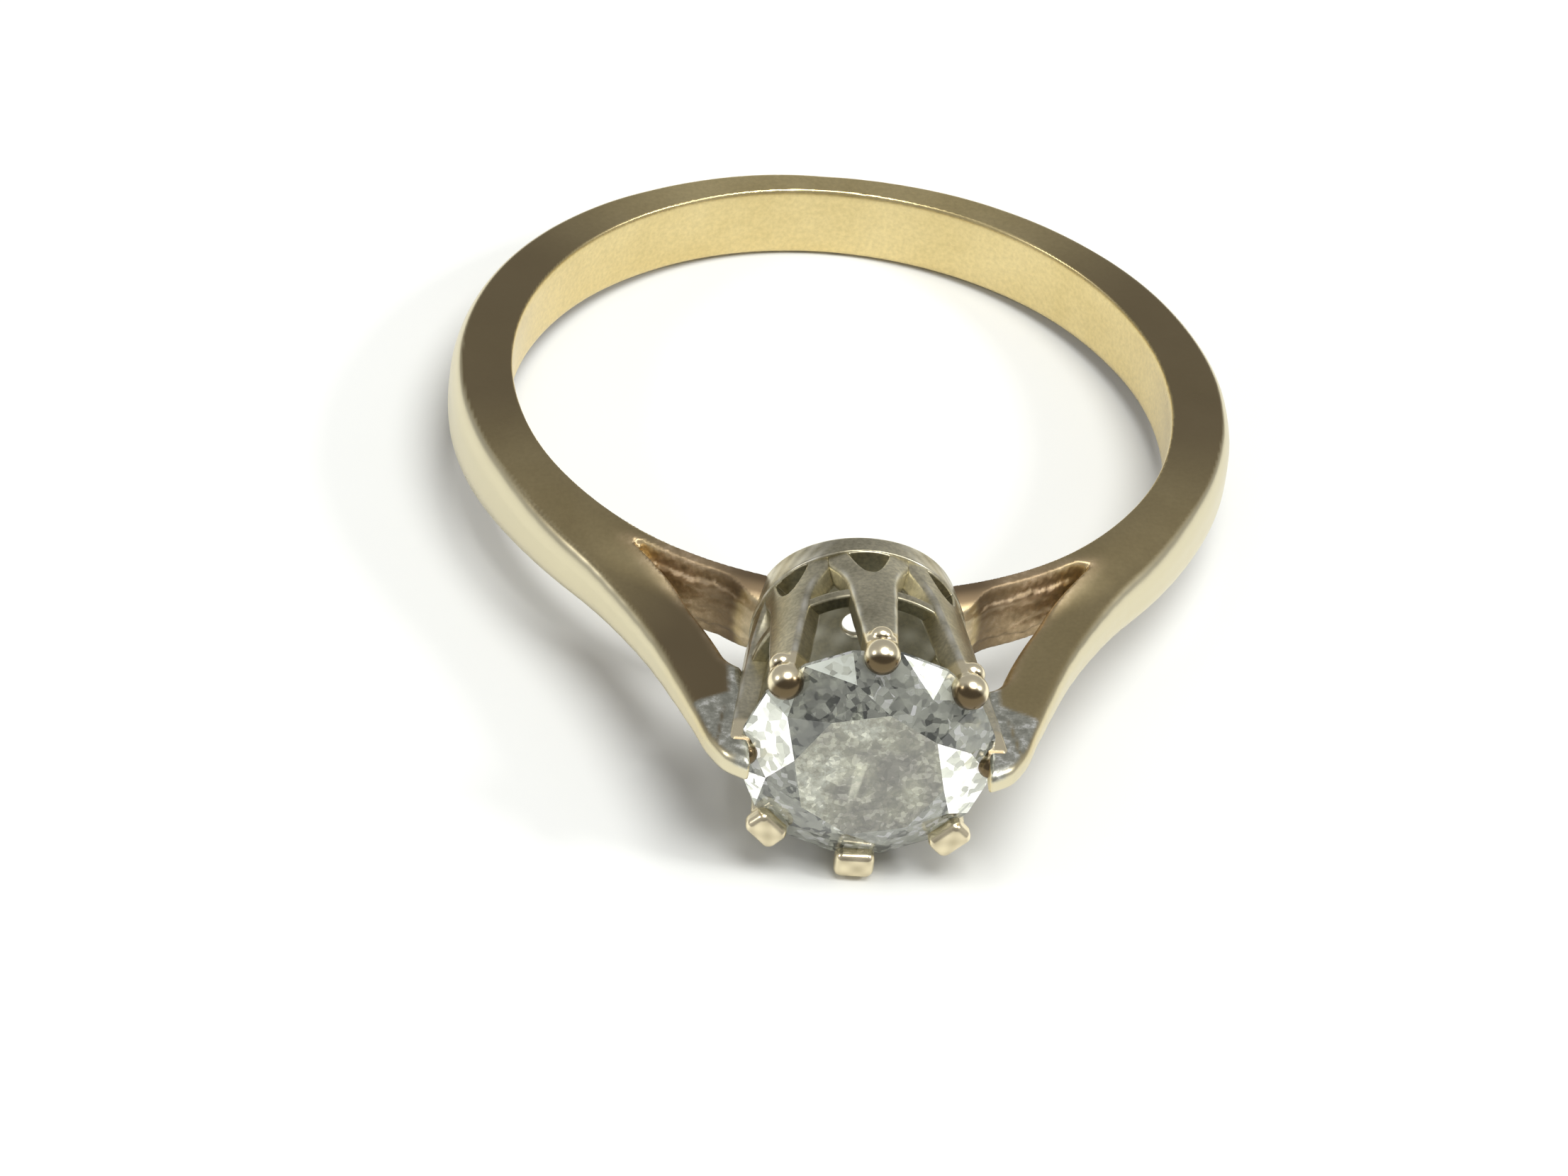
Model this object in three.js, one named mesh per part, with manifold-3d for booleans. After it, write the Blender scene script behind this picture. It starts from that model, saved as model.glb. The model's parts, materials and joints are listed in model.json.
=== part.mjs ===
// An engagement ring with a forked shank and an eight-claw coronet, lying on its side.
// Millimetres, +Z up. The head points towards -Y. In the ring's own frame the finger hole's axis is
// local Z and its centre is the origin; "across" runs along X, and "out" is the distance from the
// centre towards the head.
import * as THREE from "three";
import { mergeVertices } from "three/addons/utils/BufferGeometryUtils.js";
import Module from "manifold-3d";

// Finger hole and band
const HOLE_R = 8.5;
const BAND_WIDTH = 2.0;
const BACK_THICKNESS = 0.95; // at the crown, opposite the head
const SIDE_THICKNESS = 1.65; // at the crown, from the sides to the shoulders
const CROWN = 0.28; // how far the outside bulges past the flat sides
const CROWN_DEPTH = 0.8; // how much of the width each half of the crown takes
const FORK_ANGLE = THREE.MathUtils.degToRad(60); // where the round band becomes a shoulder

// Shoulders: the outer contour from the band to the tip, as [across, out]
const SHOULDER = [
  [7.3, 7.27],
  [6.3, 8.68],
  [5.5, 10.15],
  [4.9, 11.5],
  [4.4, 12.85],
  [4.05, 14.1],
  [3.6, 14.8],
  [3.05, 15.05],
];
const FORK_APEX = [5.8, 7.3];
const FORK_END = [3.4, 12.1]; // where the inner edge of the outer leg meets the coronet
const INNER_LEG = 0.55; // thickness of the leg that follows the finger hole
const TAPER = [
  [7.0, 0.9],
  [9.0, 0.68],
  [12.2, 0.48],
  [15.3, 0.36],
]; // half the width of the outer leg, as [out, half width]

// Coronet
const CONE_FOOT = { r: 2.6, out: 8.5 };
const CONE_TOP = { r: 3.5, out: 13.9 };
const BASE_RING = { inner: 0.5, low: 8.1, high: 9.2 }; // closed but for a small hole under the culet
const RAIL = { inner: 2.45, outer: 2.87, low: 10.95, high: 11.25 };
const CLAW = { count: 8, root: 1.2, width: 0.88, thick: 0.62, end: 14.2 };
const FOOT = { half: 1.1, notchFoot: 0.48, notchTop: 0.14, notchHeight: 0.95, spread: 1.6 };
const BEAD = { r: 0.45, across: 3.26, out: 14.18 };
const SIDE_BEAD = { r: 0.42, across: 3.04, out: 14.24 }; // tucked in under the shoulders' tips

// Stone: a round brilliant
const STONE = { girdle: 3.2, table: 1.93, culetOut: 11.1, girdleOut: 13.85, edge: 0.1, crown: 0.9 };
const STONE_SIDES = 16;

const SEAM = 0.04; // the solder seam between two pieces
const SIDES = 72; // flats round the finger hole
const RING_SIDES = 48; // flats round the coronet's two rings
const BAND_STEPS = 24; // points round half of the band
const NECK_STEPS = 14; // points along one shoulder

const wasm = await Module();
wasm.setup();
const { Manifold, Mesh } = wasm;

const YELLOW_GOLD = new THREE.MeshStandardMaterial({ color: 0xb59a5c, roughness: 0.35, metalness: 1 });
const WHITE_GOLD = new THREE.MeshStandardMaterial({ color: 0xb4b0a0, roughness: 0.25, metalness: 1 });
const GEM = new THREE.MeshStandardMaterial({ color: 0xc8cdc4, roughness: 0.05, metalness: 0 });

// A point of the ring's plane: the head is towards -Y.
const point = ([across, out]) => new THREE.Vector2(across, -out);
const mirrored = (points) => points.map(([across, out]) => [-across, out]).reverse();
const onCircle = (r, angle) => [r * Math.sin(angle), r * Math.cos(angle)];

function solidOf(geometry) {
  const bare = geometry.clone();
  bare.deleteAttribute("normal");
  bare.deleteAttribute("uv");
  const merged = mergeVertices(bare, 1e-4);
  const vertProperties = merged.attributes.position.array;
  return new Manifold(new Mesh({ numProp: 3, vertProperties, triVerts: merged.index.array }));
}

function geometryOf(solid) {
  const mesh = solid.getMesh();
  const geometry = new THREE.BufferGeometry();
  geometry.setAttribute("position", new THREE.BufferAttribute(mesh.vertProperties, 3));
  geometry.setIndex(new THREE.BufferAttribute(mesh.triVerts, 1));
  geometry.computeVertexNormals();
  return geometry;
}

// A straight prism in the ring's plane, through the whole width.
function prism(points, depth = 2 * BAND_WIDTH) {
  const shape = new THREE.Shape(points.map(point));
  const geometry = new THREE.ExtrudeGeometry(shape, { depth, bevelEnabled: false });
  return solidOf(geometry.translate(0, 0, -depth / 2));
}

// A solid of revolution about the coronet's axis, from [radius, out] points, in the ring's frame.
function turned(profile, sides) {
  const geometry = new THREE.LatheGeometry(profile.map(([r, out]) => new THREE.Vector2(r, out)), sides);
  return solidOf(geometry.rotateX(Math.PI));
}

function holePlug() {
  const plug = new THREE.CylinderGeometry(HOLE_R, HOLE_R, 4 * BAND_WIDTH, SIDES);
  return solidOf(plug.rotateX(Math.PI / 2));
}

// Radius of the crown, thinnest at the back.
function bandRadius(angle) {
  const fullness = 1 - Math.sin(angle / 2) ** 8;
  return HOLE_R + BACK_THICKNESS + (SIDE_THICKNESS - BACK_THICKNESS) * fullness;
}

// Half of the outside contour, from the back of the band to the shoulder's tip.
function halfContour() {
  const round = [];
  for (let i = 1; i < BAND_STEPS; i += 1) {
    const angle = Math.PI + ((FORK_ANGLE - Math.PI) * i) / BAND_STEPS;
    round.push(onCircle(bandRadius(angle), angle));
  }
  const joint = onCircle(bandRadius(FORK_ANGLE), FORK_ANGLE);
  const neck = new THREE.CatmullRomCurve3(
    [joint, ...SHOULDER].map(([across, out]) => new THREE.Vector3(across, out, 0)),
  );
  return [...round, ...neck.getPoints(NECK_STEPS).map((p) => [p.x, p.y])];
}

// The whole yellow-gold blank, crowned outside, before the finger hole and the forks are cut.
function blank() {
  const side = halfContour();
  const tip = side[side.length - 1];
  const hollow = [tip[0] - 0.1, tip[1] - 0.6];
  const right = [...side, hollow];
  const back = onCircle(bandRadius(Math.PI), Math.PI);
  const shape = new THREE.Shape([back, ...right, ...mirrored(right)].map(point));
  const depth = BAND_WIDTH - 2 * CROWN_DEPTH;
  const bevel = { bevelSize: CROWN, bevelOffset: -CROWN, bevelThickness: CROWN_DEPTH, bevelSegments: 4 };
  const geometry = new THREE.ExtrudeGeometry(shape, { depth, ...bevel });
  return solidOf(geometry.translate(0, 0, -depth / 2));
}

// The gap between the two legs of one fork, cut right through.
function forkGap(side) {
  const steps = 10;
  const end = THREE.MathUtils.degToRad(12);
  const start = Math.atan2(FORK_APEX[0], FORK_APEX[1]) - THREE.MathUtils.degToRad(2);
  const arc = [];
  for (let i = 0; i <= steps; i += 1) {
    arc.push(onCircle(HOLE_R + INNER_LEG, start + ((end - start) * i) / steps));
  }
  const gap = [FORK_APEX, ...arc, [1.9, FORK_END[1]], FORK_END];
  return prism(gap.map(([across, out]) => [side * across, out]));
}

// The space outside the solder seam between the shank and one shoulder.
function shoulderSpace(side, shift) {
  const run = new THREE.Vector2(FORK_END[0] - FORK_APEX[0], FORK_END[1] - FORK_APEX[1]).normalize();
  const reach = 2.6;
  const seam = [
    [FORK_APEX[0] + shift * run.x, FORK_APEX[1] + shift * run.y],
    [FORK_APEX[0] + reach * run.y + shift * run.x, FORK_APEX[1] - reach * run.x + shift * run.y],
  ];
  const space = [...seam, [8.4, 16], [2.6, 16], [2.6, 11.6], [4.3, 9.6]];
  return prism(space.map(([across, out]) => [side * across, out]));
}

// The space inside the shoulders' narrowing sides.
function taper() {
  const upper = TAPER.map(([out, half]) => [out, half]);
  const lower = TAPER.map(([out, half]) => [out, -half]).reverse();
  const back = [
    [-2 * HOLE_R, -BAND_WIDTH],
    [-2 * HOLE_R, BAND_WIDTH],
  ];
  const shape = new THREE.Shape([...upper, ...lower, ...back].map(([a, b]) => new THREE.Vector2(a, b)));
  const depth = 3 * HOLE_R;
  const geometry = new THREE.ExtrudeGeometry(shape, { depth, bevelEnabled: false });
  geometry.translate(0, 0, -depth / 2);
  const place = new THREE.Matrix4().makeBasis(
    new THREE.Vector3(0, -1, 0),
    new THREE.Vector3(0, 0, 1),
    new THREE.Vector3(-1, 0, 0),
  );
  return solidOf(geometry.applyMatrix4(place));
}

const coneRadius = (out) =>
  CONE_FOOT.r + ((CONE_TOP.r - CONE_FOOT.r) * (out - CONE_FOOT.out)) / (CONE_TOP.out - CONE_FOOT.out);

// Everything the coronet and the stone fill, with the seam round them.
function coronetSpace() {
  const top = SIDE_BEAD.out + SIDE_BEAD.r + SEAM;
  return turned(
    [
      [0, 7],
      [coneRadius(7) + SEAM, 7],
      [coneRadius(CLAW.end) + SEAM, CLAW.end],
      [SIDE_BEAD.across + SIDE_BEAD.r / 2, top],
      [0, top],
    ],
    SIDES,
  );
}

function stoneProfile(grow) {
  const top = STONE.girdleOut + STONE.edge + STONE.crown;
  return [
    [0, STONE.culetOut - grow],
    [STONE.girdle + grow, STONE.girdleOut - grow / 2],
    [STONE.girdle + grow, STONE.girdleOut + STONE.edge + grow / 2],
    [STONE.table + grow, top + grow],
    [0, top + grow],
  ];
}

// One claw at angle zero, on the +X side: a Y-shaped foot, a narrowing stem and a bead.
function clawBlank(tip) {
  const lean = Math.atan2(CONE_TOP.r - CONE_FOOT.r, CONE_TOP.out - CONE_FOOT.out);
  const length = (CLAW.end - BASE_RING.high - SEAM) / Math.cos(lean);
  const outline = [
    [-FOOT.half, 0],
    [-FOOT.notchFoot, 0],
    [-FOOT.notchTop, FOOT.notchHeight],
    [FOOT.notchTop, FOOT.notchHeight],
    [FOOT.notchFoot, 0],
    [FOOT.half, 0],
    [CLAW.root / 2, FOOT.spread],
    [CLAW.width / 2, length],
    [-CLAW.width / 2, length],
    [-CLAW.root / 2, FOOT.spread],
  ];
  const shape = new THREE.Shape(outline.map(([u, v]) => new THREE.Vector2(u, v)));
  const bar = new THREE.ExtrudeGeometry(shape, { depth: CLAW.thick, bevelEnabled: false });
  const along = new THREE.Vector3(Math.sin(lean), -Math.cos(lean), 0);
  const outward = new THREE.Vector3(Math.cos(lean), Math.sin(lean), 0);
  const foot = BASE_RING.high + SEAM;
  const place = new THREE.Matrix4().makeBasis(new THREE.Vector3(0, 0, 1), along, outward);
  place.setPosition(coneRadius(foot) - CLAW.thick / Math.cos(lean), -foot, 0);
  bar.applyMatrix4(place);
  const bead = new THREE.SphereGeometry(tip.r, 16, 12);
  bead.translate(tip.across, -tip.out, 0);
  return solidOf(bar).add(solidOf(bead));
}

// The share of the coronet that belongs to one claw, so neighbouring feet meet at a seam.
function clawSector() {
  const half = Math.PI / CLAW.count;
  const reach = 2 * CONE_TOP.r;
  const start = SEAM / 2 / Math.sin(half);
  const corners = [
    [start, 0],
    [start + reach * Math.cos(half), reach * Math.sin(half)],
    [start + reach * Math.cos(half), -reach * Math.sin(half)],
  ];
  const shape = new THREE.Shape(corners.map(([x, z]) => new THREE.Vector2(x, z)));
  const geometry = new THREE.ExtrudeGeometry(shape, { depth: 10, bevelEnabled: false });
  return solidOf(geometry.rotateX(Math.PI / 2).translate(0, -6, 0));
}

// The under-ring: its outside follows the cone, and its foot follows the finger hole.
function baseRing() {
  const { inner, low, high } = BASE_RING;
  const profile = [
    [inner, low],
    [coneRadius(low), low],
    [coneRadius(high), high],
    [inner, high],
    [inner, low],
  ];
  return turned(profile, RING_SIDES).subtract(holePlug());
}

function rail(grow) {
  const { inner, outer, low, high } = RAIL;
  const profile = [
    [inner - grow, low - grow],
    [outer + grow, low - grow],
    [outer + grow, high + grow],
    [inner - grow, high + grow],
    [inner - grow, low - grow],
  ];
  return turned(profile, RING_SIDES);
}

function claw(tip) {
  const seat = turned(stoneProfile(SEAM), 64);
  return clawBlank(tip).intersect(clawSector()).subtract(seat).subtract(rail(SEAM));
}

function part(name, solid, material) {
  const mesh = new THREE.Mesh(geometryOf(solid), material);
  mesh.name = name;
  return mesh;
}

function goldParts() {
  const body = blank().subtract(holePlug()).subtract(coronetSpace());
  const forked = body.subtract(forkGap(1)).subtract(forkGap(-1));
  const tapered = forked.intersect(taper());
  const shank = forked.subtract(shoulderSpace(1, -SEAM / 2)).subtract(shoulderSpace(-1, -SEAM / 2));
  return [
    part("shank", shank, YELLOW_GOLD),
    part("shoulder_right", tapered.intersect(shoulderSpace(1, SEAM / 2)), YELLOW_GOLD),
    part("shoulder_left", tapered.intersect(shoulderSpace(-1, SEAM / 2)), YELLOW_GOLD),
  ];
}

function coronetParts() {
  const parts = [part("base_ring", baseRing(), WHITE_GOLD), part("gallery_rail", rail(0), WHITE_GOLD)];
  const free = claw(BEAD);
  const side = claw(SIDE_BEAD);
  for (let i = 0; i < CLAW.count; i += 1) {
    const besideShoulder = i % (CLAW.count / 2) === 0;
    const mesh = part(`claw_${i + 1}`, besideShoulder ? side : free, WHITE_GOLD);
    mesh.rotation.y = (-2 * Math.PI * i) / CLAW.count;
    parts.push(mesh);
  }
  return parts;
}

// The ring in its own frame, then leaned over until it rests on a bead and on the back of the band.
const ring = new THREE.Group();
ring.add(...goldParts(), ...coronetParts());
ring.add(part("stone", turned(stoneProfile(0), STONE_SIDES), GEM));

const backReach = HOLE_R + BACK_THICKNESS - CROWN;
const drop = BEAD.across - BAND_WIDTH / 2;
const span = BEAD.out + backReach;
ring.rotation.x = -Math.atan2(drop, span) - Math.asin(BEAD.r / Math.hypot(drop, span));

const group = new THREE.Group();
group.add(ring);
const box = new THREE.Box3().setFromObject(group, true);
const centre = box.getCenter(new THREE.Vector3());
group.position.set(-centre.x, -centre.y, -box.min.z);

const engagementRing = new THREE.Group();
engagementRing.add(group);

export default engagementRing;
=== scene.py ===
import json
import math

import bmesh
import bpy
import numpy as np
from mathutils import Matrix, Vector


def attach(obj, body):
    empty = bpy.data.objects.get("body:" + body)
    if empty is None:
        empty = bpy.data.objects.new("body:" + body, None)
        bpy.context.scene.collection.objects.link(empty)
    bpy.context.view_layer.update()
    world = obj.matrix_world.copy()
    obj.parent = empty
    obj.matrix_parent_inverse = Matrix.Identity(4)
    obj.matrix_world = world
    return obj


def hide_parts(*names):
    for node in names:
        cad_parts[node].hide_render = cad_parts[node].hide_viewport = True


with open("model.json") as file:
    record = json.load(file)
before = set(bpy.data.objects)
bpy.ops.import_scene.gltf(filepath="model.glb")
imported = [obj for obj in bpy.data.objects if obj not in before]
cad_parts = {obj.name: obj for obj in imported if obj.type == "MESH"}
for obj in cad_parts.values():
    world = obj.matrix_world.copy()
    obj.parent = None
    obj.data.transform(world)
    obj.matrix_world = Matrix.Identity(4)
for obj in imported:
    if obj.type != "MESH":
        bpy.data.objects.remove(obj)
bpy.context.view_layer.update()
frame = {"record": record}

# All shapes below are in millimetres in the ring's own frame: X across the finger hole, Y away from
# the head ("out" is -Y, towards the head), Z along the hole's axis, and the hole's centre at zero.
MM = 0.001
HALF_WIDTH = 1.0
HOLE_R = 8.5

# The grid steps that the metal pieces are meshed at.
BAND_STEP = 0.08
FINE_STEP = 0.05


def ring_place():
    """Where the ring's own frame sits in the part's frame, from the band's upper side, a mount."""
    upper = next(m for m in frame["record"]["mounts"] if m["name"] == "band_side_upper")
    normal = Vector(upper["axis"])
    centre = Vector(upper["pos_m"]) - normal * HALF_WIDTH * MM
    centre.x = 0
    lean = math.atan2(normal.y, normal.z)
    return Matrix.Translation(centre) @ Matrix.Rotation(-lean, 4, "X")


PLACE = ring_place()
RING = PLACE @ Matrix.Scale(MM, 4)

# ---------------------------------------------------------------- camera

# Where the camera looks, how far off it is, and its angles, all in the ring's own frame.
CAMERA_TARGET = Vector((-1.47, -5.05, -1.8)) * MM
CAMERA_DISTANCE = 289.2 * MM
CAMERA_AZIMUTH = math.radians(-7.3)
CAMERA_ELEVATION = math.radians(37.2)
CAMERA_ROLL = math.radians(7.58)
CAMERA_LENS = 260.4
CAMERA_SENSOR = 36
CAMERA_CLIP = 0.01


def add_camera():
    data = bpy.data.cameras.new("camera")
    data.lens = CAMERA_LENS
    data.sensor_width = CAMERA_SENSOR
    data.clip_start = CAMERA_CLIP
    camera = bpy.data.objects.new("camera", data)
    bpy.context.scene.collection.objects.link(camera)
    away = Vector(
        (
            math.sin(CAMERA_AZIMUTH) * math.cos(CAMERA_ELEVATION),
            -math.cos(CAMERA_AZIMUTH) * math.cos(CAMERA_ELEVATION),
            math.sin(CAMERA_ELEVATION),
        )
    )
    spot = Matrix.Translation(CAMERA_TARGET + away * CAMERA_DISTANCE)
    camera.matrix_world = PLACE @ spot @ looking(away) @ Matrix.Rotation(CAMERA_ROLL, 4, "Z")
    bpy.context.scene.camera = camera


def looking(away):
    """The turn of a camera or a light that looks back along a direction."""
    return (-away).to_track_quat("-Z", "Y").to_matrix().to_4x4()


add_camera()

# ---------------------------------------------------------------- solid fields

# A field is a function of (x, y, z) arrays that is negative inside a solid, zero on its surface and
# roughly the distance from it nearby.
MARGIN = (1.5, 2.5)  # how far the grid reaches past a box, below and above, in grid steps
PULLS = 3  # how often the vertices are pulled towards the surface
LONGEST_PULL = 0.5  # in grid steps
LEAST_SLOPE = 0.05  # the least squared slope that a pull divides by
TINY = 1e-9


def rounded_max(a, b, r):
    """The part common to two solids, with the edge between them rounded to radius r."""
    u = np.maximum(a + r, 0)
    v = np.maximum(b + r, 0)
    return np.minimum(np.maximum(a, b), -r) + np.sqrt(u * u + v * v)


def rounded_min(a, b, r):
    """Two solids joined, with a fillet of radius r between them."""
    return -rounded_max(-a, -b, r)


def rise(x, low, high):
    """A smooth step from 0 at low to 1 at high."""
    t = np.clip((x - low) / (high - low), 0, 1)
    return t * t * (3 - 2 * t)


def fall(x, low, high):
    """A smooth step from 1 at low to 0 at high."""
    return 1 - rise(x, low, high)


def bell(x, width):
    return np.exp(-((x / width) ** 2))


def patches(u, v):
    """A blotchy pattern between 0 and 1."""
    return 0.5 + 0.5 * np.sin(u) * np.sin(v)


def wobble(x, y, z, scale, phase=0.0):
    """A slow unevenness between about -1 and 1, as hand finishing and wear leave."""
    return (
        np.sin(scale * (x + 0.6 * y) + phase)
        + np.sin(scale * 1.7 * (y - 0.4 * z) + 2.1 + phase)
        + np.sin(scale * 1.3 * (z + 0.7 * x) + 4.2 + 2 * phase)
    ) / 3


def surface_net(field, low, high, step):
    """Vertices and quads of a field's zero surface, one vertex in each grid cell it crosses."""
    below, above = MARGIN[0] * step, MARGIN[1] * step
    axes = [np.arange(low[i] - below, high[i] + above, step) for i in range(3)]
    x, y, z = axes[0][:, None, None], axes[1][None, :, None], axes[2][None, None, :]
    value = np.broadcast_to(field(x, y, z), [len(a) for a in axes])
    inside = value < 0
    cells = [len(a) - 1 for a in axes]
    total = np.zeros(cells + [3])
    count = np.zeros(cells)
    crossings = []
    for axis in range(3):
        first = [slice(None)] * 3
        second = [slice(None)] * 3
        first[axis], second[axis] = slice(0, -1), slice(1, None)
        first, second = tuple(first), tuple(second)
        i, j, k = np.nonzero(inside[first] != inside[second])
        a, b = value[first][i, j, k], value[second][i, j, k]
        edge = np.stack([i, j, k], 1)
        point = edge.astype(float)
        point[:, axis] += a / (a - b)
        others = [n for n in range(3) if n != axis]
        around = [cell_beside(edge, others, *shift) for shift in ((0, 0), (1, 0), (1, 1), (0, 1))]
        for cell in around:
            np.add.at(total, cell, point)
            np.add.at(count, cell, 1)
        crossings.append((around, inside[first][i, j, k] == (axis == 1)))
    used = count > 0
    number = np.full(cells, -1)
    number[used] = np.arange(used.sum())
    vertices = total[used] / count[used][:, None] * step + np.array([a[0] for a in axes])
    quads = []
    for around, flip in crossings:
        quad = np.stack([number[cell] for cell in around], 1)
        quad[flip] = quad[flip][:, ::-1]
        quads.append(quad)
    return vertices, np.concatenate(quads)


def cell_beside(edge, others, du, dv):
    """The index of one of the four cells round a grid edge."""
    cell = edge.copy()
    cell[:, others[0]] -= du
    cell[:, others[1]] -= dv
    return tuple(cell.T)


def slope(field, points, reach=0.004):
    """The field's gradient at some points."""
    rows = []
    for axis in range(3):
        shift = np.zeros(3)
        shift[axis] = reach
        ahead, behind = points + shift, points - shift
        rows.append((field(*ahead.T) - field(*behind.T)) / (2 * reach))
    return np.stack(rows, 1)


def field_mesh(name, field, box, step, place, paint=None):
    """A smooth closed mesh of a field, its vertices pulled onto the surface, with exact normals."""
    points, quads = surface_net(field, *box, step)
    for _ in range(PULLS):
        g = slope(field, points)
        squared = np.maximum((g * g).sum(1), LEAST_SLOPE)
        move = -(field(*points.T) / squared)[:, None] * g
        length = np.linalg.norm(move, axis=1, keepdims=True)
        points = points + move * np.minimum(1, LONGEST_PULL * step / np.maximum(length, TINY))
    g = slope(field, points)
    normals = g / np.maximum(np.linalg.norm(g, axis=1, keepdims=True), TINY)
    made = mesh_object(name, points, quads, place, normals)
    if paint:
        for zone_name, share in paint(points, normals).items():
            layer = made.data.attributes.new(zone_name, "FLOAT", "POINT")
            layer.data.foreach_set("value", np.clip(share, 0, 1).astype(np.float32))
    return made


def mesh_object(name, points, faces, place, normals=None):
    mesh = bpy.data.meshes.new(name)
    rows = [tuple(int(i) for i in face) for face in faces]
    mesh.from_pydata([tuple(p) for p in points], [], rows)
    mesh.validate()
    mesh.transform(place)
    if normals is not None:
        turn = place.to_3x3().normalized()
        mesh.polygons.foreach_set("use_smooth", [True] * len(mesh.polygons))
        mesh.normals_split_custom_set_from_vertices([tuple(turn @ Vector(n)) for n in normals])
    made = bpy.data.objects.new(name, mesh)
    bpy.context.scene.collection.objects.link(made)
    return made


# ---------------------------------------------------------------- yellow-gold band

# The outline of one half: angle from the head, radius of the crown, and half the width there.
OUTLINE = [
    (180, 9.45, 1.0),
    (150, 9.62, 1.0),
    (130, 9.83, 1.0),
    (112, 9.98, 1.0),
    (96, 10.08, 1.0),
    (84, 10.1, 0.99),
    (74, 10.07, 0.95),
    (65, 10.04, 0.9),
    (60, 10.05, 0.84),
    (55, 10.1, 0.78),
    (50, 10.18, 0.75),
    (45, 10.28, 0.73),
    (42, 10.37, 0.71),
    (39, 10.52, 0.67),
    (36, 10.73, 0.63),
    (33, 11.0, 0.6),
    (30, 11.34, 0.57),
    (27, 11.77, 0.54),
    (24, 12.33, 0.5),
    (21, 13.03, 0.45),
    (18.2, 13.82, 0.4),
    (16.2, 14.55, 0.37),
    (14.0, 15.12, 0.36),
    (11.6, 15.34, 0.35),
    (9.0, 15.4, 0.34),
    (0, 15.4, 0.34),
]
TABLE_ANGLE = np.linspace(0, 180, 1441)  # every eighth of a degree
BLUR = np.exp(-np.linspace(-2.2, 2.2, 25) ** 2)  # rounds the outline's corners over three degrees
CROWN = 0.3  # how high the outside is domed
CROWN_DEPTH = 0.8  # how far the dome reaches in from each side, as a share of half the width
TAPER_R = (8.75, 10.2)  # where the width goes from full to the outline's own
EDGE_ROUND = 0.09

# The forks: the outer wall of the inner leg, then two straight lines along the outer leg's inside,
# each point as (across, out).
LEG_R = 8.93
FORK_APEX = (5.55, 7.3)
FORK_BEND = (3.9, 9.6)
FORK_LEAN = 0.32
FORK_END = 11.3
LEG_INSIDE = 3.0
UNEVEN = 0.11  # how far the two forks differ from their mean
GAP_START = 6.95
HEAD_CLEAR = 2.3  # no gold nearer than this to the head's middle
BAND_UNEVEN = (0.007, 1.1)  # height and scale

# The outer wall of the inner leg: a ledge of solder and a drawn line, both wandering, and grit.
LEDGE = (0.64, 0.09, 0.16, 0.09)  # half height, wander, softness, how far it stands out
DRAWN = (0.28, 0.12, 0.09, 0.025)  # height, wander, half width, depth
GRIT = 0.008
FILLET = 0.5
RIGHT_PHASE, LEFT_PHASE = 0.7, 2.9

BAND_REACH = 10.2
BAND_BOX = ((-BAND_REACH, -15.5, -1.05), (BAND_REACH, OUTLINE[0][1] + 0.1, 1.05))


def outline_table(column):
    """One column of the outline as a dense smooth table against angle."""
    rows = OUTLINE[::-1]
    coarse = np.interp(TABLE_ANGLE, [row[0] for row in rows], [row[column] for row in rows])
    ends = len(BLUR) // 2
    padded = np.concatenate([np.full(ends, coarse[0]), coarse, np.full(ends, coarse[-1])])
    return np.convolve(padded, BLUR / BLUR.sum(), "valid")


TABLE_R = outline_table(1)
TABLE_WIDTH = outline_table(2)


def head_angle(x, y):
    return np.degrees(np.arctan2(np.abs(x), -y))


def outside_of_contour(x, y):
    """How far a point is outside the outline, in its own slanting direction."""
    angle = head_angle(x, y)
    r = np.sqrt(x * x + y * y)
    edge = np.interp(angle, TABLE_ANGLE, TABLE_R)
    ahead = np.interp(angle + 0.5, TABLE_ANGLE, TABLE_R)
    behind = np.interp(angle - 0.5, TABLE_ANGLE, TABLE_R)
    lean = (ahead - behind) / np.radians(1.0) / edge
    return (r - edge) / np.sqrt(1 + lean * lean)


def half_width(x, y):
    """Half the width of the gold: full at the finger hole, narrower outside at the shoulders."""
    r = np.sqrt(x * x + y * y)
    outer = np.interp(head_angle(x, y), TABLE_ANGLE, TABLE_WIDTH)
    return HALF_WIDTH - (HALF_WIDTH - outer) * rise(r, *TAPER_R)


def crowned(x, y, z):
    """The blank before the finger hole and forks are cut, domed outside."""
    away = outside_of_contour(x, y)
    half = half_width(x, y)
    side = (np.abs(z) - half) / (CROWN_DEPTH * half)
    u = np.maximum(away / CROWN + 1, 0)
    v = np.maximum(side + 1, 0)
    corner = np.sqrt(u * u + v * v) - 1
    return np.where(np.minimum(u, v) > 0, corner, np.maximum(away / CROWN, side)) * CROWN


def rough_line(along, phase):
    """An uneven line, as a solder seam runs."""
    return (
        0.5 * np.sin(3.1 * along + phase)
        + 0.3 * np.sin(7.3 * along + 2 * phase)
        + 0.2 * np.sin(17.0 * along + 3 * phase)
    )


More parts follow.
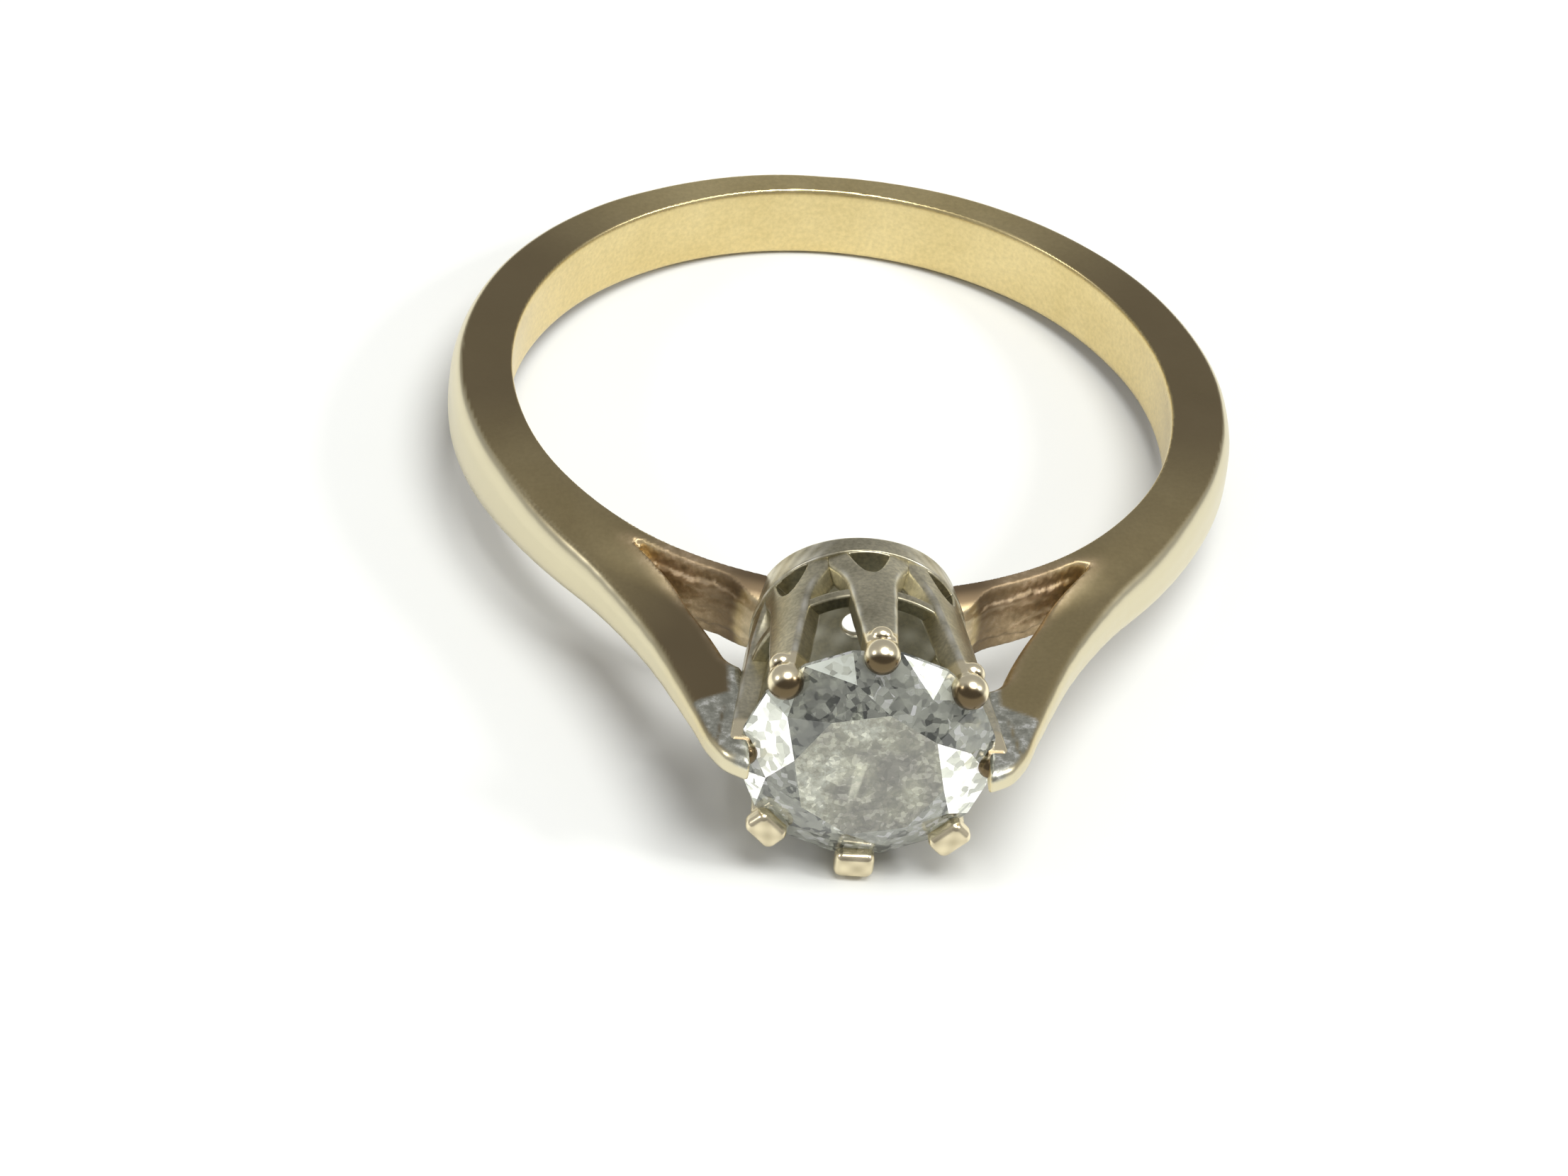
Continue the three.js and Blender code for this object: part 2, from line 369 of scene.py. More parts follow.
def leg_wall(x, z):
    """How far the inner leg's outer wall stands out, and the fillet where it meets the coronet."""
    across = np.abs(x)
    phase = np.where(x > 0, RIGHT_PHASE, LEFT_PHASE)
    high, wander, soft, proud = LEDGE
    ledge = rise(high + wander * rough_line(across, phase) - np.abs(z), 0, soft)
    high, wander, half, deep = DRAWN
    drawn = bell(high + wander * rough_line(0.6 * across, phase + 1) - np.abs(z), half)
    grit = GRIT * np.sin(23 * across + 5 * z + phase) * np.sin(19 * z - 6 * across)
    along_leg = rise(across, 2.4, 3.2) * fall(across, 5.4, 5.9)
    fillet = FILLET * fall(across, 2.6, 3.7) ** 2
    return along_leg * (proud * ledge - deep * drawn + grit) + fillet


def fork_gap(x, y, z):
    """Negative in the space between the legs of the forks and round the coronet."""
    side = np.sign(x)
    across, out = np.abs(x) - UNEVEN * side, -y
    before_lean = (FORK_APEX[0] - FORK_BEND[0]) / (FORK_BEND[1] - FORK_APEX[1])
    lines = [
        (across - FORK_BEND[0] + lean * (out - FORK_BEND[1])) / math.hypot(1, lean)
        for lean in (before_lean, FORK_LEAN)
    ]
    gap = rounded_min(*lines, 0.5)
    gap = rounded_max(gap, out - FORK_END - 2 * UNEVEN * side, 0.4)
    gap = rounded_min(gap, np.abs(x) - LEG_INSIDE, 0.12)
    r = np.sqrt(x * x + y * y)
    gap = rounded_max(LEG_R + leg_wall(x, z) - r, gap, 0.2)
    return rounded_max(gap, GAP_START - out, 0.12)


def gold_field(x, y, z):
    r = np.sqrt(x * x + y * y)
    solid = rounded_max(crowned(x, y, z), HOLE_R - r, EDGE_ROUND)
    along_fork = rise(r, 9.1, 10.2) * rise(-y, 7.6, 9.5) * rise(y, -12.8, -11.5)
    solid = rounded_max(solid, -fork_gap(x, y, z), 0.1 + 0.2 * along_fork)
    solid = rounded_max(solid, HEAD_CLEAR - np.abs(x) - 6 * rise(y, -7.6, -6.5), 0.05)
    high, scale = BAND_UNEVEN
    return solid + high * wobble(x, y, z, scale)


def side_shade(x, angle):
    """How dark the painted shade on a flat side is: most beside the finger hole, not at all at the
    back.
    """
    side = rise(angle, 22, 42) * fall(angle, 62, 84) * 0.62
    side += rise(angle, 62, 84) * fall(angle, 118, 165) * 0.93
    return side + fall(angle, 22, 42) * (0.8 - 0.22 * np.sign(x))


def shoulder_edge_shade(x, y, z, angle):
    """Painted shade: a dark line along the upper edge of each shoulder, stronger on the left."""
    line = bell(outside_of_contour(x, y) + 0.2, 0.05) * (z > 0)
    return line * rise(angle, 17, 22) * fall(angle, 55, 75) * (0.5 - 0.3 * np.sign(x))


def solder_share(across, out, faces_up):
    """Grey solder on the fork's tip and beside the coronet, with a thin gold seam across it."""
    tip = rise(out - 12.3 - 0.6 * (across - 3.55), -0.08, 0.08) * rise(faces_up, 0.7, 0.92)
    beside = fall(across, 3.3, 3.5) * rise(out, 10.8, 11.3) * rise(faces_up, 0.1, 0.4)
    seam = bell(across - 3.6 - 0.16 * (out - 13), 0.035) * rise(out, 12.7, 13)
    return np.maximum(tip, beside) * (1 - 0.8 * seam)


def gold_zones(points, normals):
    """Where the gold differs: painted shade on the flat sides and along the shoulders' upper edges,
    a painted reflection on the pale outside, the forks with a painted highlight and painted shade,
    and the solder.
    """
    x, y, z = points.T
    across, out = np.abs(x), -y
    r = np.sqrt(x * x + y * y)
    angle = head_angle(x, y)
    flat = rise(np.abs(normals[:, 2]), 0.4, 0.8)

    edge_shade = shoulder_edge_shade(x, y, z, angle)
    # Painted reflection: the faces that look outward are painted paler.
    faces_out = rise((x * normals[:, 0] + y * normals[:, 1]) / r, 0.25, 0.8)
    outside = faces_out * rise(r, 9.25, 9.4) * (1 - 0.6 * rise(angle, 100, 140))

    inner_leg = fall(r, 9.1, 9.4) * rise(r, 8.5, 8.56) * rise(out, 6.5, 7.6)
    inner_leg *= fall(across, 4.9, 6.4)
    near_gap = fall(fork_gap(x, y, z), 0.02, 0.5)
    phase = np.where(x > 0, RIGHT_PHASE, LEFT_PHASE)
    # Painted highlight: a lighter wandering band along the solder ledge of the inner leg.
    ridge_highlight = bell(z - 0.5 + 0.1 * rough_line(across, phase), 0.14)
    ridge_highlight *= 0.6 + 0.4 * np.sin(13 * across + 3 * phase) * np.sin(5 * across)
    ridge_highlight *= rise(r, 8.8, 8.9) * rise(across, 3.1, 3.8)
    # Painted shade: darker in the recess near the coronet, and on the inner leg's flat top.
    recess_shade = inner_leg * (1 - 0.8 * rise(across, 2.9, 4.3))
    return {
        "ridge_highlight": ridge_highlight * inner_leg * (1 - flat),
        "recess_shade": np.maximum(recess_shade, 0.45 * inner_leg * flat),
        "shade": np.maximum(flat * side_shade(x, angle) * (1 - outside), edge_shade),
        "outside": outside * (1 - edge_shade),
        "recess": np.maximum(inner_leg, 0.6 * near_gap * (r < 12.0)),
        "solder": solder_share(across, out, normals[:, 2]),
    }


def make_band():
    band = field_mesh("gold_band", gold_field, BAND_BOX, BAND_STEP, RING, gold_zones)
    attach(band, "root")
    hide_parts("shank", "shoulder_left", "shoulder_right")
    return band


# ---------------------------------------------------------------- white-gold coronet

# The coronet's outer cone, as (radius, out) at its foot and top.
CONE_FOOT = (2.6, 8.5)
CONE_TOP = (3.5, 13.9)
CONE_LEAN = (CONE_TOP[0] - CONE_FOOT[0]) / (CONE_TOP[1] - CONE_FOOT[1])
CONE_SLANT = math.hypot(1, CONE_LEAN)

CLAWS = 8
CLAW_THICK = 0.62
CLAW_END = 14.25
CLAW_FOOT = 9.12
CLAW_STEM = (0.635, 0.07, 10.7)  # half width, how it narrows, and where it is measured
CLAW_FLARE = (0.42, 9.0, 10.9, 1.3)  # how much wider the foot is, its span, and its bend
CLAW_BULGE = 0.1
CLAW_SECTOR_GAP = 0.012
CLAW_ROUND = 0.12
CLAW_CORNER = 0.3
CLAW_UNEVEN = (0.01, 3.0)  # height and scale
TIP_FILLET = 0.07
CLAW_BOX = ((1.9, -14.8, -1.25), (3.9, -9.0, 1.25))
NOTCH_TOP = 10.32
NOTCH_FLARE = 0.5
NOTCH_ROUND = 0.06

# The lower three claws keep their square ends; the others have a bead, smaller on the two sides.
BLOCKY_CLAWS = (5, 6, 7)
BLOCKY_LONGER = 0.15
BLOCKY_CORNER = 0.22
BLOCKY_TIP = (0.38, 0.27, 0.5)  # half sizes: radial, out, and round the ring
BEAD = (3.25, 14.2, 0.46)  # radius from the middle, out, and the bead's own radius
SIDE_BEAD = (3.06, 14.2, 0.31)
SIDE_CLAWS = (0, 4)
CLAW_PHASE = 1.3  # how far apart two neighbouring claws are in their unevenness
KNUCKLE = (0.1, 0.6, 0.32)  # the second bead: farther from the middle, farther back, and radius

RIM_END = 9.24
RIM_HOLE_R = 0.36
RIM_UNEVEN = (0.006, 2.2)  # height and scale
RIM_BOX = ((-2.85, -9.3, -2.85), (2.85, -7.9, 2.85))
CUP_OUT = 13.93
CUP_R = 5.18
RAIL = (2.69, 11.1, 0.2, 0.15)  # radius, out, and half sizes
RAIL_BOX = ((-2.95, -11.35, -2.95), (2.95, -10.85, 2.95))


def cone_radius(out):
    return CONE_FOOT[0] + CONE_LEAN * (out - CONE_FOOT[1])


def claw_half_width(out):
    """Half the width of a claw: two spread legs at the foot, then a narrowing stem."""
    half, narrowing, place = CLAW_STEM
    wider, low, high, bend = CLAW_FLARE
    return half - narrowing * (out - place) + wider * fall(out, low, high) ** bend


def claw_stem(x, out, z, end, corner):
    """A claw without its tip, kept inside its own sector, with the notch in its foot."""
    wall = (x - cone_radius(out)) / CONE_SLANT
    bulge = CLAW_BULGE * (z / 0.6) ** 2
    slab = np.abs(wall + CLAW_THICK / 2 + bulge) - CLAW_THICK / 2
    stem = rounded_max(slab, np.abs(z) - claw_half_width(out), CLAW_ROUND)
    stem = rounded_max(stem, out - end, corner)
    stem = rounded_max(stem, CLAW_FOOT - out, 0.05)
    half_sector = math.pi / CLAWS
    sector = (np.abs(z) - x * math.tan(half_sector)) * math.cos(half_sector) - CLAW_SECTOR_GAP
    stem = rounded_max(stem, sector, 0.03)
    below = NOTCH_TOP - out
    notch_half = np.where(below > 0, NOTCH_FLARE * np.sqrt(np.clip(below, 0, 1)), 2 * below)
    notch = np.maximum((np.abs(z) - notch_half) * 0.8, RIM_END + 0.04 - out)
    return rounded_max(stem, -notch, NOTCH_ROUND)


def round_tip(x, out, z, bead):
    """A bead with a smaller one behind it."""
    radius, place, size = bead
    away, back, small = KNUCKLE
    dx, dy = x - radius, out - place
    ball = np.sqrt(dx * dx + dy * dy + z * z) - size
    dx, dy = x - radius - away, out - place + back
    return rounded_min(ball, np.sqrt(dx * dx + 1.4 * dy * dy + z * z) - small, 0.04)


def square_tip(x, out, z, bead):
    radial, along, around = BLOCKY_TIP
    sides = rounded_max(np.abs(z) - around, np.abs(out - bead[1]) - along, 0.2)
    return rounded_max(np.abs(x - bead[0]) - radial, sides, 0.24)


def claw_field(phase, bead, blocky):
    """One claw, pointing along +X."""
    end = CLAW_END + (BLOCKY_LONGER if blocky else 0)
    high, scale = CLAW_UNEVEN
    corner = BLOCKY_CORNER if blocky else CLAW_CORNER
    tip_field = square_tip if blocky else round_tip

    def field(x, y, z):
        stem = claw_stem(x, -y, z, end, corner)
        solid = rounded_min(stem, tip_field(x, -y, z, bead), TIP_FILLET)
        return solid + high * wobble(x, y, z, scale, phase)

    return field


def pale_metal(points, normals):
    """Where a claw is pale: the rubbed long edges outside, and patches of painted light on its
    shaded inner side.
    """
    x, y, z = points.T
    out = -y
    edges = bell(claw_half_width(out) - np.abs(z) - 0.05, 0.06)
    edges *= rise(x - cone_radius(out), -0.25, -0.1) * rise(out, 9.3, 9.7)
    edges *= 0.55 + 0.3 * np.sin(5 * out + 7 * x)
    # Painted light on the claw's inner side.
    inner = rise(-normals[:, 0], -0.25, 0.6) * rise(out, 9.2, 9.5)
    inner *= 0.35 + 0.5 * patches(6 * y + 5 * z, 4 * z - 7 * x)
    return np.maximum(edges, inner)


def bead_zones(points, normals):
    """A beaded claw: its bead is polished by wear, with painted shade on the side of the bead that
    faces out along the claw and in towards the stone.
    """
    bead = rise(-points[:, 1], 13.3, 13.5)
    painted_shade = bead * rise(-normals[:, 1] - 0.45 * normals[:, 0], 0.15, 0.5)
    return {"bead": bead, "painted_shade": painted_shade, "wear_and_sheen": pale_metal(points, normals) * (1 - bead)}


def square_zones(points, normals):
    """A square-ended claw: bright at its end, with painted shade in patches on the faces that look
    out along the claw.
    """
    x, y, z = points.T
    painted_shade = rise(-normals[:, 1], 0.6, 0.95) * (0.2 + 0.35 * patches(9 * z + 4, 11 * x))
    return {"bead": rise(-y, 13.6, 13.9), "painted_shade": painted_shade, "wear_and_sheen": pale_metal(points, normals)}


def rim_zones(points, normals):
    """The under-ring, pale in rubbed patches outside between its claws, and with patches of painted
    light inside its cup.
    """
    x, y, z = points.T
    rho = np.hypot(x, z)
    around = np.degrees(np.arctan2(np.abs(x), np.abs(z)))
    outer = 0.75 * rise(around, 14, 30) * rise(rho, 2.5, 2.6)
    outer *= patches(0.35 * around + 2 * y, 9 * y + 0.2 * around)
    # Painted light and glints in patches inside the cup.
    cup = rise(-normals[:, 1], 0.3, 0.7) * fall(rho, 2.2, 2.4)
    cup *= 0.25 + 0.75 * patches(5.3 * x + 2 * z + 1, 6.1 * z - 3 * x) ** 2
    return {"wear_and_sheen": np.maximum(outer, cup)}


def base_ring_field(x, y, z):
    out = -y
    rho = np.sqrt(x * x + z * z)
    wall = (rho - cone_radius(out) - 0.01) / CONE_SLANT
    solid = rounded_max(wall, RIM_HOLE_R - rho, 0.05)
    solid = rounded_max(solid, out - RIM_END, 0.06)
    solid = rounded_max(solid, CUP_R - np.sqrt(rho * rho + (out - CUP_OUT) ** 2), 0.08)
    solid = rounded_max(solid, HOLE_R - np.sqrt(x * x + y * y), 0.12)
    high, scale = RIM_UNEVEN
    return solid + high * wobble(x, y, z, scale)


def rail_field(x, y, z):
    radius, place, half_thick, half_high = RAIL
    radial = np.abs(np.sqrt(x * x + z * z) - radius) - half_thick
    return rounded_max(radial, np.abs(-y - place) - half_high, 0.07)


def make_coronet():
    ring = field_mesh("base_ring_metal", base_ring_field, RIM_BOX, FINE_STEP, RING, rim_zones)
    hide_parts("base_ring")
    rail = field_mesh("gallery_rail_metal", rail_field, RAIL_BOX, FINE_STEP, RING)
    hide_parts("gallery_rail")
    pieces = [ring, rail]
    for i in range(CLAWS):
        place = RING @ Matrix.Rotation(-2 * math.pi * i / CLAWS, 4, "Y")
        blocky = i in BLOCKY_CLAWS
        shape = claw_field(CLAW_PHASE * i, SIDE_BEAD if i in SIDE_CLAWS else BEAD, blocky)
        zones = square_zones if blocky else bead_zones
        claw = field_mesh(f"claw_{i + 1}_metal", shape, CLAW_BOX, FINE_STEP, place, zones)
        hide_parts(f"claw_{i + 1}")
        pieces.append(claw)
    for piece in pieces:
        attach(piece, "root")
    return pieces


# ---------------------------------------------------------------- brilliant-cut stone

GIRDLE_R = 3.2
GIRDLE_OUT = 13.9
GIRDLE_EDGE = 0.1
FLAT_R = 1.93  # the table's radius
CROWN_H = 0.88
STAR_H = 0.56  # where the star facets end, as a share of the crown's height
PAVILION_H = 2.75
DEEP_R = 0.24  # where the lower pavilion row starts, as shares of the girdle and the depth
DEEP_H = 0.77
SIDES = 8
STONE_TURN = math.radians(10)

# The tones of the facets, which are painted reflections, in the order of the stone's materials, and
# which facets have them.
TABLE, CLEAR, PALE, BRIGHT, DARK, BACK_LIGHT, BACK_DARK = range(7)
BRIGHT_KITES, DARK_KITES = (0, 4), (3,)
BRIGHT_STARS, DARK_STARS = (0,), (2, 3)
BRIGHT_HALVES, PALE_HALVES = (3, 7, 9, 15), (2, 5, 6)


def kite_tone(i):
    return BRIGHT if i in BRIGHT_KITES else DARK if i in DARK_KITES else CLEAR


def star_tone(i):
    return BRIGHT if i in BRIGHT_STARS else DARK if i in DARK_STARS else CLEAR


def half_tone(i):
    """The tone of an upper girdle facet."""
    return BRIGHT if i in BRIGHT_HALVES else PALE if i in PALE_HALVES else CLEAR


def make_stone():
    """A round brilliant: table, star, kite and upper-girdle facets, girdle, two pavilion rows."""
    points = []
    faces = []
    tones = []

    def ring(count, radius, out, offset):
        start = len(points)
        for i in range(count):
            a = math.pi * 2 * (i + offset) / count
            points.append((radius * math.cos(a), -out, radius * math.sin(a)))
        return [start + i for i in range(count)]

    def facet(tone, *corners):
        faces.append(corners)
        tones.append(tone)

    upper = GIRDLE_OUT + GIRDLE_EDGE / 2
    lower = GIRDLE_OUT - GIRDLE_EDGE / 2
    table = ring(SIDES, FLAT_R, upper + CROWN_H, 0)
    star = ring(SIDES, (FLAT_R + GIRDLE_R) / 2, upper + CROWN_H * STAR_H, 0.5)
    top = ring(2 * SIDES, GIRDLE_R, upper, 0)
    low = ring(2 * SIDES, GIRDLE_R, lower, 0)
    deep = ring(SIDES, GIRDLE_R * DEEP_R, lower - PAVILION_H * DEEP_H, 0.5)
    points.append((0, -(lower - PAVILION_H), 0))
    culet = len(points) - 1

    facet(TABLE, *table)
    for i in range(SIDES):
        n, p = (i + 1) % SIDES, i - 1
        left, middle, right = 2 * i, 2 * i + 1, 2 * n
        facet(star_tone(i), table[i], table[n], star[i])
        facet(kite_tone(i), table[i], star[i], top[left], star[p])
        facet(half_tone(left), star[i], top[middle], top[left])
        facet(half_tone(middle), star[i], top[right], top[middle])
        facet(BACK_LIGHT, deep[i], low[left], low[middle])
        facet(BACK_DARK, deep[i], low[middle], low[right])
        facet(BACK_DARK if i % 2 else BACK_LIGHT, culet, deep[p], low[left], deep[i])
    for i in range(2 * SIDES):
        n = (i + 1) % (2 * SIDES)
        facet(CLEAR, top[i], top[n], low[n], low[i])

    turn = Matrix.Rotation(STONE_TURN, 4, "Y")
    stone = mesh_object("brilliant", points, faces, RING @ turn)
    stone.data.polygons.foreach_set("material_index", tones)
    face_out(stone)
    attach(stone, "root")
    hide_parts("stone")
    return stone


def face_out(piece):
    work = bmesh.new()
    work.from_mesh(piece.data)
    bmesh.ops.recalc_face_normals(work, faces=work.faces)
    work.to_mesh(piece.data)
    work.free()


# ---------------------------------------------------------------- materials

# How fine each texture is, in features per metre.
TARNISH_SCALE, FLECK_SCALE, GRAIN_SCALE, FLOOR_SCALE = 500, 9000, 3500, 60
HAZE_SCALE, CLOUD_SCALE, TABLE_FLECK_SCALE, BACK_SCALE = 1400, 700, 3800, 1500

# Colours are linear red, green and blue. A ramp's stops are (place, colour).
GOLD = ((0.74, 0.60, 0.29), (0.80, 0.66, 0.34))
GOLD_ROUGH, GOLD_SPECK = 0.3, 0.14
# Painted shade on the gold's flat sides.
SIDE_SHADE_COLOR = (0.25, 0.192, 0.105)
# A painted reflection: the pale colour of the gold's outside.
OUTSIDE_SHEEN_COLOR = (0.71, 0.645, 0.45)
RECESS = ((0.35, (0.40, 0.30, 0.175)), (0.55, (0.58, 0.44, 0.27)), (0.68, (0.80, 0.63, 0.43)))
RECESS_ROUGH = 0.55
# A painted highlight along the fork's solder ledge.
RIDGE_HIGHLIGHT_COLOR = (1.0, 0.80, 0.57)
# Painted shade in the forks' recess.
RECESS_SHADE_COLOR = (0.20, 0.145, 0.085)
SOLDER = ((0.4, (0.40, 0.40, 0.33)), (0.54, (0.60, 0.60, 0.51)), (0.63, (1.0, 1.0, 0.92)))
SOLDER_ROUGH = 0.33

WHITE_GOLD = ((0.44, 0.40, 0.27), (0.70, 0.645, 0.46))
WHITE_ROUGH, WHITE_SPECK = 0.34, 0.35
# Rubbed wear on the claws' edges and the under-ring, and painted light inside the coronet.
WEAR_AND_SHEEN_COLOR = (0.90, 0.87, 0.74)
BEAD_GOLD = (0.97, 0.86, 0.60)
BEAD_ROUGH = 0.25
# Painted shade on the claws' beads and ends.
CLAW_SHADE_COLOR = (0.15, 0.11, 0.06)

NIGHT = (0.10, 0.105, 0.09)
GREY = (0.42, 0.43, 0.37)
SILVER = (0.64, 0.66, 0.56)
PALE_GREEN = (0.8, 0.84, 0.75)
WHITE = (1.0, 1.0, 0.98)
CLOUD = ((0.38, (0.38, 0.37, 0.32)), (0.53, (0.56, 0.555, 0.44)), (0.64, (0.9, 0.91, 0.77)))
TABLE_FLECKS = ((0.3, (0.75, 0.75, 0.75)), (0.6, (1.0, 1.0, 1.0)), (0.72, (1.4, 1.4, 1.4)))
FLOOR = ((0.3, (0.80, 0.81, 0.78)), (0.7, (0.83, 0.84, 0.81)))

# The four tones of the crown's facets, painted reflections that also glow: name, size of the small
# patches, how much light goes through, roughness, painted glow, and the ramp over the patches.
CROWN_TONES = (
    ("clear", 2400, 0.65, 0.05, 0.12, (0.27, NIGHT), (0.38, GREY), (0.62, SILVER), (0.74, WHITE)),
    ("pale", 2200, 0.4, 0.05, 0.2, (0.26, GREY), (0.38, SILVER), (0.6, PALE_GREEN)),
    ("bright", 2000, 0.1, 0.1, 0.55, (0.28, GREY), (0.40, SILVER), (0.5, WHITE), (0.7, WHITE)),
    ("dark", 2600, 0.65, 0.05, 0.04, (0.36, NIGHT), (0.5, GREY), (0.64, GREY), (0.74, SILVER)),
)
# Painted reflections: a lit and a shaded copy of the pavilion, each as its darkest and lightest
# tint.
BACK_TINTS = {
    "light": ((0.3, 0.31, 0.25), (0.85, 0.86, 0.76)),
    "dark": ((0.06, 0.065, 0.05), (0.4, 0.41, 0.34)),
}
CROWN_IOR = 1.9
TABLE_IOR = 1.7
TABLE_CLEAR = 0.35
POLISHED = 0.12  # the roughness of the table and of the pavilion
BACK_METALLIC = 0.85
FLOOR_ROUGH = 0.9


def grey(value):
    return (value,) * 3


def new_material(name):
    """A new material, with its node tree, its shader and the position that its textures follow."""
    material = bpy.data.materials.new(name)
    material.use_nodes = True
    tree = material.node_tree
    place = tree.nodes.new("ShaderNodeTexCoord").outputs["Object"]
    return material, tree, tree.nodes["Principled BSDF"], place


def noise(tree, vector, scale, detail, roughness=0.55):
    made = tree.nodes.new("ShaderNodeTexNoise")
    made.inputs["Scale"].default_value = scale
    made.inputs["Detail"].default_value = detail
    made.inputs["Roughness"].default_value = roughness
    tree.links.new(vector, made.inputs["Vector"])
    return made.outputs["Fac"]


def ramp(tree, value, *stops):
    made = tree.nodes.new("ShaderNodeValToRGB")
    elements = made.color_ramp.elements
    while len(elements) < len(stops):
        elements.new(0.5)
    for element, (place, color) in zip(elements, stops):
        element.position = place
        element.color = (*color, 1)
    tree.links.new(value, made.inputs["Fac"])
    return made.outputs["Color"]


def blend(tree, share, first, second, kind="MIX"):
    """Two colours mixed, each given as a socket or as a colour."""
    made = tree.nodes.new("ShaderNodeMix")
    made.data_type = "RGBA"
    made.blend_type = kind
    for socket, value in ((0, share), (6, first), (7, second)):
        if isinstance(value, bpy.types.NodeSocket):
            tree.links.new(value, made.inputs[socket])
        else:
            made.inputs[socket].default_value = (*value, 1) if isinstance(value, tuple) else value
    return made.outputs[2]


def zone(tree, name):
    """The share, from 0 to 1, that field_mesh stored at each vertex under this name."""
    made = tree.nodes.new("ShaderNodeAttribute")
    made.attribute_name = name
    return made.outputs["Fac"]


def shards(tree, place, scale):
    """A number that jumps between small straight-sided patches, for painted reflections like a cut
    stone's.
    """
    both = tree.nodes.new("ShaderNodeMix")
    both.inputs[0].default_value = 0.5
    for socket, size in ((2, scale), (3, 2.3 * scale)):
        cells = tree.nodes.new("ShaderNodeTexVoronoi")
        cells.inputs["Scale"].default_value = size
        tree.links.new(place, cells.inputs["Vector"])
        single = tree.nodes.new("ShaderNodeRGBToBW")
        tree.links.new(cells.outputs["Color"], single.inputs["Color"])
        tree.links.new(single.outputs["Val"], both.inputs[socket])
    return both.outputs[0]


def metal_material(name, tints, rough, speck):
    """Polished metal gone soft with wear: slow clouds of tarnish, and fine specks.

    Returns what new_material does, and the sockets of the metal's colour and roughness.
    """
    made = new_material(name)
    _, tree, shader, place = made
    cloud = noise(tree, place, TARNISH_SCALE, 3)
    tint = ramp(tree, cloud, (0.35, tints[0]), (0.65, tints[1]))
    fleck = noise(tree, place, FLECK_SCALE, 2)
    shade = ramp(tree, fleck, (0.3, grey(1 - speck)), (0.7, grey(1)))
    wear_and_sheen = ramp(tree, cloud, (0.3, grey(rough - 0.03)), (0.7, grey(rough + 0.03)))
    shader.inputs["Metallic"].default_value = 1.0
    return *made, blend(tree, 1.0, tint, shade, "MULTIPLY"), wear_and_sheen


def gold_material():
    """Yellow gold: painted shade on the flat sides, a painted pale reflection on the outside,
    reddish forks with a painted highlight and painted shade, and grey solder.
    """
    made = metal_material("worn_yellow_gold", GOLD, GOLD_ROUGH, GOLD_SPECK)
    material, tree, shader, place, color, rough = made
    grain = noise(tree, place, GRAIN_SCALE, 5, 0.7)
    color = blend(tree, zone(tree, "shade"), color, SIDE_SHADE_COLOR)
    color = blend(tree, zone(tree, "outside"), color, OUTSIDE_SHEEN_COLOR)
    reddish = blend(tree, zone(tree, "ridge_highlight"), ramp(tree, grain, *RECESS), RIDGE_HIGHLIGHT_COLOR)
    reddish = blend(tree, zone(tree, "recess_shade"), reddish, RECESS_SHADE_COLOR)
    color = blend(tree, zone(tree, "recess"), color, reddish)
    color = blend(tree, zone(tree, "solder"), color, ramp(tree, grain, *SOLDER))
    rough = blend(tree, zone(tree, "recess"), rough, grey(RECESS_ROUGH))
    rough = blend(tree, zone(tree, "solder"), rough, grey(SOLDER_ROUGH))
    tree.links.new(color, shader.inputs["Base Color"])
    tree.links.new(rough, shader.inputs["Roughness"])
    return material


def white_material():
    """White gold whose plating has gone: olive and dull on the faces, bright on the beads, pale
    where rubbed, with painted light inside the coronet and painted shade on the claws' beads and
    ends.
    """
    made = metal_material("worn_white_gold", WHITE_GOLD, WHITE_ROUGH, WHITE_SPECK)
    material, tree, shader, _, color, rough = made
    color = blend(tree, zone(tree, "wear_and_sheen"), color, WEAR_AND_SHEEN_COLOR)
    color = blend(tree, zone(tree, "bead"), color, BEAD_GOLD)
    color = blend(tree, zone(tree, "painted_shade"), color, CLAW_SHADE_COLOR)
    rough = blend(tree, zone(tree, "bead"), rough, grey(BEAD_ROUGH))
    tree.links.new(color, shader.inputs["Base Color"])
    tree.links.new(rough, shader.inputs["Roughness"])
    return material


def crown_material(name, size, clear, rough, painted_glow, *stops):
    """One tone of the stone: crystal with painted reflections, small patches painted pale or dark,
    and a painted glow.
    """
    material, tree, shader, place = new_material(f"brilliant_{name}")
    tint = ramp(tree, shards(tree, place, size), *stops)
    haze = ramp(tree, noise(tree, place, HAZE_SCALE, 6, 0.7), (0.35, grey(0.8)), (0.7, grey(1)))
    color = blend(tree, 1.0, tint, haze, "MULTIPLY")
    tree.links.new(color, shader.inputs["Base Color"])
    tree.links.new(color, shader.inputs["Emission Color"])
    shader.inputs["Emission Strength"].default_value = painted_glow
    shader.inputs["Transmission Weight"].default_value = clear
    shader.inputs["IOR"].default_value = CROWN_IOR
    shader.inputs["Roughness"].default_value = rough
    return material


def table_material():
    """The table: clear, with a grey-green cloud and pale straight-sided flecks, brighter than white
    in places.
    """
    material, tree, shader, place = new_material("brilliant_table")
    tint = ramp(tree, noise(tree, place, CLOUD_SCALE, 6, 0.72), *CLOUD)
    flecks = ramp(tree, shards(tree, place, TABLE_FLECK_SCALE), *TABLE_FLECKS)
    tree.links.new(blend(tree, 1.0, tint, flecks, "MULTIPLY"), shader.inputs["Base Color"])
    shader.inputs["Transmission Weight"].default_value = TABLE_CLEAR
    shader.inputs["IOR"].default_value = TABLE_IOR
    shader.inputs["Roughness"].default_value = POLISHED
    return material


